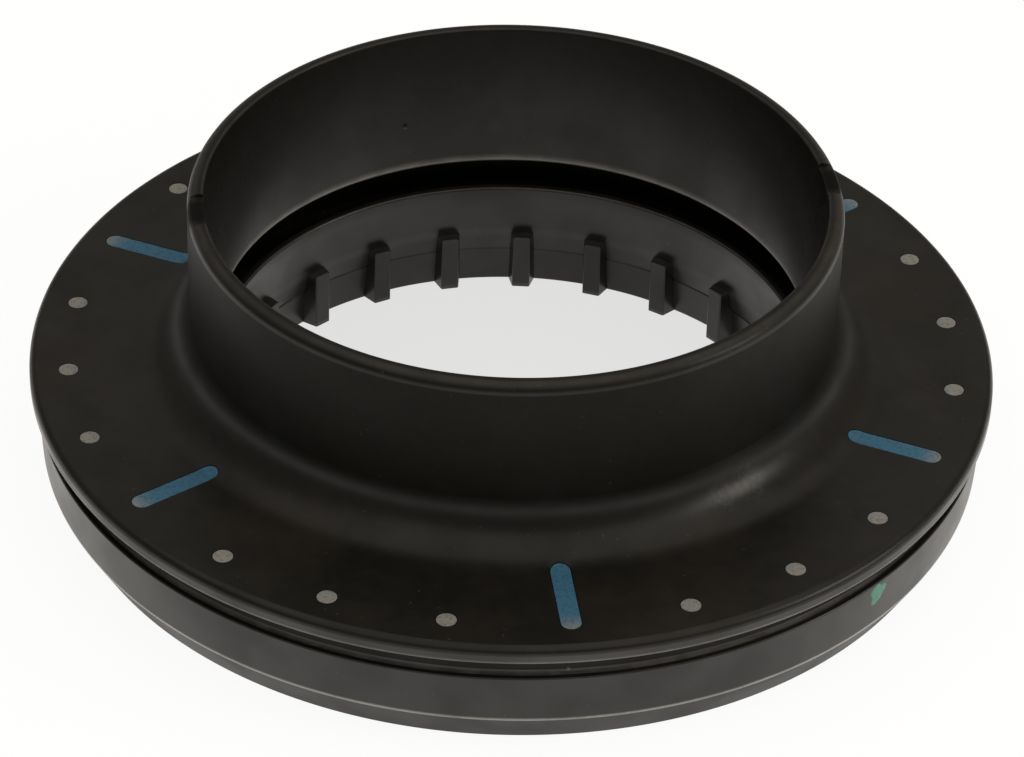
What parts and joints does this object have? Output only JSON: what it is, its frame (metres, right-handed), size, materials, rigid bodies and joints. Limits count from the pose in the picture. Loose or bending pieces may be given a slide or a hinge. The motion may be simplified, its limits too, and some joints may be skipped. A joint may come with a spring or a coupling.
{
  "type": "strut bearing",
  "caption": "Round strut bearing for a car's front suspension: a collared spring seat that turns on a caged ball ring over a body-side cap with a ribbed bore.",
  "frame": {"origin": "centre of the base face, which goes up against the car body and on which the bearing lies in the picture", "axes": "+Z along the turning axis, from the body side to the spring side; -Y through the slot nearest the viewer in the picture"},
  "size_m": [0.15, 0.15, 0.0486],
  "materials": {
    "seat_plastic": "black glass-filled polyamide, satin",
    "cap_plastic": "black glass-filled polyamide, slightly glossier",
    "insert_steel": "zinc coated sheet steel, dull and a little bluish",
    "race_steel": "hardened pressed steel, smooth",
    "cage_plastic": "natural polyamide",
    "ball_steel": "polished bearing steel",
    "seal_rubber": "black elastomer, matt"
  },
  "bodies": {
    "body_side": {"body_cap": "cap_plastic", "body_race": "race_steel"},
    "spring_side": {"spring_seat": "seat_plastic", "stiffener_insert": "insert_steel", "seat_race": "race_steel", "outer_seal": "seal_rubber", "inner_seal": "seal_rubber"},
    "cage": {"ball_cage": "cage_plastic"},
    "ball_01": {"ball_01": "ball_steel"},
    "ball_02": {"ball_02": "ball_steel"},
    "ball_03": {"ball_03": "ball_steel"},
    "ball_04": {"ball_04": "ball_steel"},
    "ball_05": {"ball_05": "ball_steel"},
    "ball_06": {"ball_06": "ball_steel"},
    "ball_07": {"ball_07": "ball_steel"},
    "ball_08": {"ball_08": "ball_steel"},
    "ball_09": {"ball_09": "ball_steel"},
    "ball_10": {"ball_10": "ball_steel"},
    "ball_11": {"ball_11": "ball_steel"},
    "ball_12": {"ball_12": "ball_steel"},
    "ball_13": {"ball_13": "ball_steel"},
    "ball_14": {"ball_14": "ball_steel"},
    "ball_15": {"ball_15": "ball_steel"},
    "ball_16": {"ball_16": "ball_steel"},
    "ball_17": {"ball_17": "ball_steel"},
    "ball_18": {"ball_18": "ball_steel"},
    "ball_19": {"ball_19": "ball_steel"},
    "ball_20": {"ball_20": "ball_steel"},
    "ball_21": {"ball_21": "ball_steel"},
    "ball_22": {"ball_22": "ball_steel"},
    "ball_23": {"ball_23": "ball_steel"},
    "ball_24": {"ball_24": "ball_steel"}
  },
  "joints": [
    {"name": "seat_turn", "type": "hinge", "parent": "body_side", "child": "spring_side", "pos_m": [0, 0, 0.0098], "axis": [0, 0, 1], "continuous": true},
    {"name": "cage_turn", "type": "hinge", "parent": "body_side", "child": "cage", "pos_m": [0, 0, 0.0098], "axis": [0, 0, 1], "continuous": true},
    {"name": "ball_01_spin", "type": "hinge", "parent": "cage", "child": "ball_01", "pos_m": [0.06, 0, 0.0098], "axis": [0.9063, 0, 0.4226], "continuous": true},
    {"name": "ball_02_spin", "type": "hinge", "parent": "cage", "child": "ball_02", "pos_m": [0.05796, 0.01553, 0.0098], "axis": [0.8754, 0.2346, 0.4226], "continuous": true},
    {"name": "ball_03_spin", "type": "hinge", "parent": "cage", "child": "ball_03", "pos_m": [0.05196, 0.03, 0.0098], "axis": [0.7849, 0.4532, 0.4226], "continuous": true},
    {"name": "ball_04_spin", "type": "hinge", "parent": "cage", "child": "ball_04", "pos_m": [0.04243, 0.04243, 0.0098], "axis": [0.6409, 0.6409, 0.4226], "continuous": true},
    {"name": "ball_05_spin", "type": "hinge", "parent": "cage", "child": "ball_05", "pos_m": [0.03, 0.05196, 0.0098], "axis": [0.4532, 0.7849, 0.4226], "continuous": true},
    {"name": "ball_06_spin", "type": "hinge", "parent": "cage", "child": "ball_06", "pos_m": [0.01553, 0.05796, 0.0098], "axis": [0.2346, 0.8754, 0.4226], "continuous": true},
    {"name": "ball_07_spin", "type": "hinge", "parent": "cage", "child": "ball_07", "pos_m": [0, 0.06, 0.0098], "axis": [0, 0.9063, 0.4226], "continuous": true},
    {"name": "ball_08_spin", "type": "hinge", "parent": "cage", "child": "ball_08", "pos_m": [-0.01553, 0.05796, 0.0098], "axis": [-0.2346, 0.8754, 0.4226], "continuous": true},
    {"name": "ball_09_spin", "type": "hinge", "parent": "cage", "child": "ball_09", "pos_m": [-0.03, 0.05196, 0.0098], "axis": [-0.4532, 0.7849, 0.4226], "continuous": true},
    {"name": "ball_10_spin", "type": "hinge", "parent": "cage", "child": "ball_10", "pos_m": [-0.04243, 0.04243, 0.0098], "axis": [-0.6409, 0.6409, 0.4226], "continuous": true},
    {"name": "ball_11_spin", "type": "hinge", "parent": "cage", "child": "ball_11", "pos_m": [-0.05196, 0.03, 0.0098], "axis": [-0.7849, 0.4532, 0.4226], "continuous": true},
    {"name": "ball_12_spin", "type": "hinge", "parent": "cage", "child": "ball_12", "pos_m": [-0.05796, 0.01553, 0.0098], "axis": [-0.8754, 0.2346, 0.4226], "continuous": true},
    {"name": "ball_13_spin", "type": "hinge", "parent": "cage", "child": "ball_13", "pos_m": [-0.06, 0, 0.0098], "axis": [-0.9063, 0, 0.4226], "continuous": true},
    {"name": "ball_14_spin", "type": "hinge", "parent": "cage", "child": "ball_14", "pos_m": [-0.05796, -0.01553, 0.0098], "axis": [-0.8754, -0.2346, 0.4226], "continuous": true},
    {"name": "ball_15_spin", "type": "hinge", "parent": "cage", "child": "ball_15", "pos_m": [-0.05196, -0.03, 0.0098], "axis": [-0.7849, -0.4532, 0.4226], "continuous": true},
    {"name": "ball_16_spin", "type": "hinge", "parent": "cage", "child": "ball_16", "pos_m": [-0.04243, -0.04243, 0.0098], "axis": [-0.6409, -0.6409, 0.4226], "continuous": true},
    {"name": "ball_17_spin", "type": "hinge", "parent": "cage", "child": "ball_17", "pos_m": [-0.03, -0.05196, 0.0098], "axis": [-0.4532, -0.7849, 0.4226], "continuous": true},
    {"name": "ball_18_spin", "type": "hinge", "parent": "cage", "child": "ball_18", "pos_m": [-0.01553, -0.05796, 0.0098], "axis": [-0.2346, -0.8754, 0.4226], "continuous": true},
    {"name": "ball_19_spin", "type": "hinge", "parent": "cage", "child": "ball_19", "pos_m": [0, -0.06, 0.0098], "axis": [0, -0.9063, 0.4226], "continuous": true},
    {"name": "ball_20_spin", "type": "hinge", "parent": "cage", "child": "ball_20", "pos_m": [0.01553, -0.05796, 0.0098], "axis": [0.2346, -0.8754, 0.4226], "continuous": true},
    {"name": "ball_21_spin", "type": "hinge", "parent": "cage", "child": "ball_21", "pos_m": [0.03, -0.05196, 0.0098], "axis": [0.4532, -0.7849, 0.4226], "continuous": true},
    {"name": "ball_22_spin", "type": "hinge", "parent": "cage", "child": "ball_22", "pos_m": [0.04243, -0.04243, 0.0098], "axis": [0.6409, -0.6409, 0.4226], "continuous": true},
    {"name": "ball_23_spin", "type": "hinge", "parent": "cage", "child": "ball_23", "pos_m": [0.05196, -0.03, 0.0098], "axis": [0.7849, -0.4532, 0.4226], "continuous": true},
    {"name": "ball_24_spin", "type": "hinge", "parent": "cage", "child": "ball_24", "pos_m": [0.05796, -0.01553, 0.0098], "axis": [0.8754, -0.2346, 0.4226], "continuous": true}
  ],
  "couplings": [
    {"joint": "cage_turn", "follows": "seat_turn", "ratio": 0.48944},
    {"joint": "ball_01_spin", "follows": "seat_turn", "ratio": -9.9955},
    {"joint": "ball_02_spin", "follows": "seat_turn", "ratio": -9.9955},
    {"joint": "ball_03_spin", "follows": "seat_turn", "ratio": -9.9955},
    {"joint": "ball_04_spin", "follows": "seat_turn", "ratio": -9.9955},
    {"joint": "ball_05_spin", "follows": "seat_turn", "ratio": -9.9955},
    {"joint": "ball_06_spin", "follows": "seat_turn", "ratio": -9.9955},
    {"joint": "ball_07_spin", "follows": "seat_turn", "ratio": -9.9955},
    {"joint": "ball_08_spin", "follows": "seat_turn", "ratio": -9.9955},
    {"joint": "ball_09_spin", "follows": "seat_turn", "ratio": -9.9955},
    {"joint": "ball_10_spin", "follows": "seat_turn", "ratio": -9.9955},
    {"joint": "ball_11_spin", "follows": "seat_turn", "ratio": -9.9955},
    {"joint": "ball_12_spin", "follows": "seat_turn", "ratio": -9.9955},
    {"joint": "ball_13_spin", "follows": "seat_turn", "ratio": -9.9955},
    {"joint": "ball_14_spin", "follows": "seat_turn", "ratio": -9.9955},
    {"joint": "ball_15_spin", "follows": "seat_turn", "ratio": -9.9955},
    {"joint": "ball_16_spin", "follows": "seat_turn", "ratio": -9.9955},
    {"joint": "ball_17_spin", "follows": "seat_turn", "ratio": -9.9955},
    {"joint": "ball_18_spin", "follows": "seat_turn", "ratio": -9.9955},
    {"joint": "ball_19_spin", "follows": "seat_turn", "ratio": -9.9955},
    {"joint": "ball_20_spin", "follows": "seat_turn", "ratio": -9.9955},
    {"joint": "ball_21_spin", "follows": "seat_turn", "ratio": -9.9955},
    {"joint": "ball_22_spin", "follows": "seat_turn", "ratio": -9.9955},
    {"joint": "ball_23_spin", "follows": "seat_turn", "ratio": -9.9955},
    {"joint": "ball_24_spin", "follows": "seat_turn", "ratio": -9.9955}
  ]
}
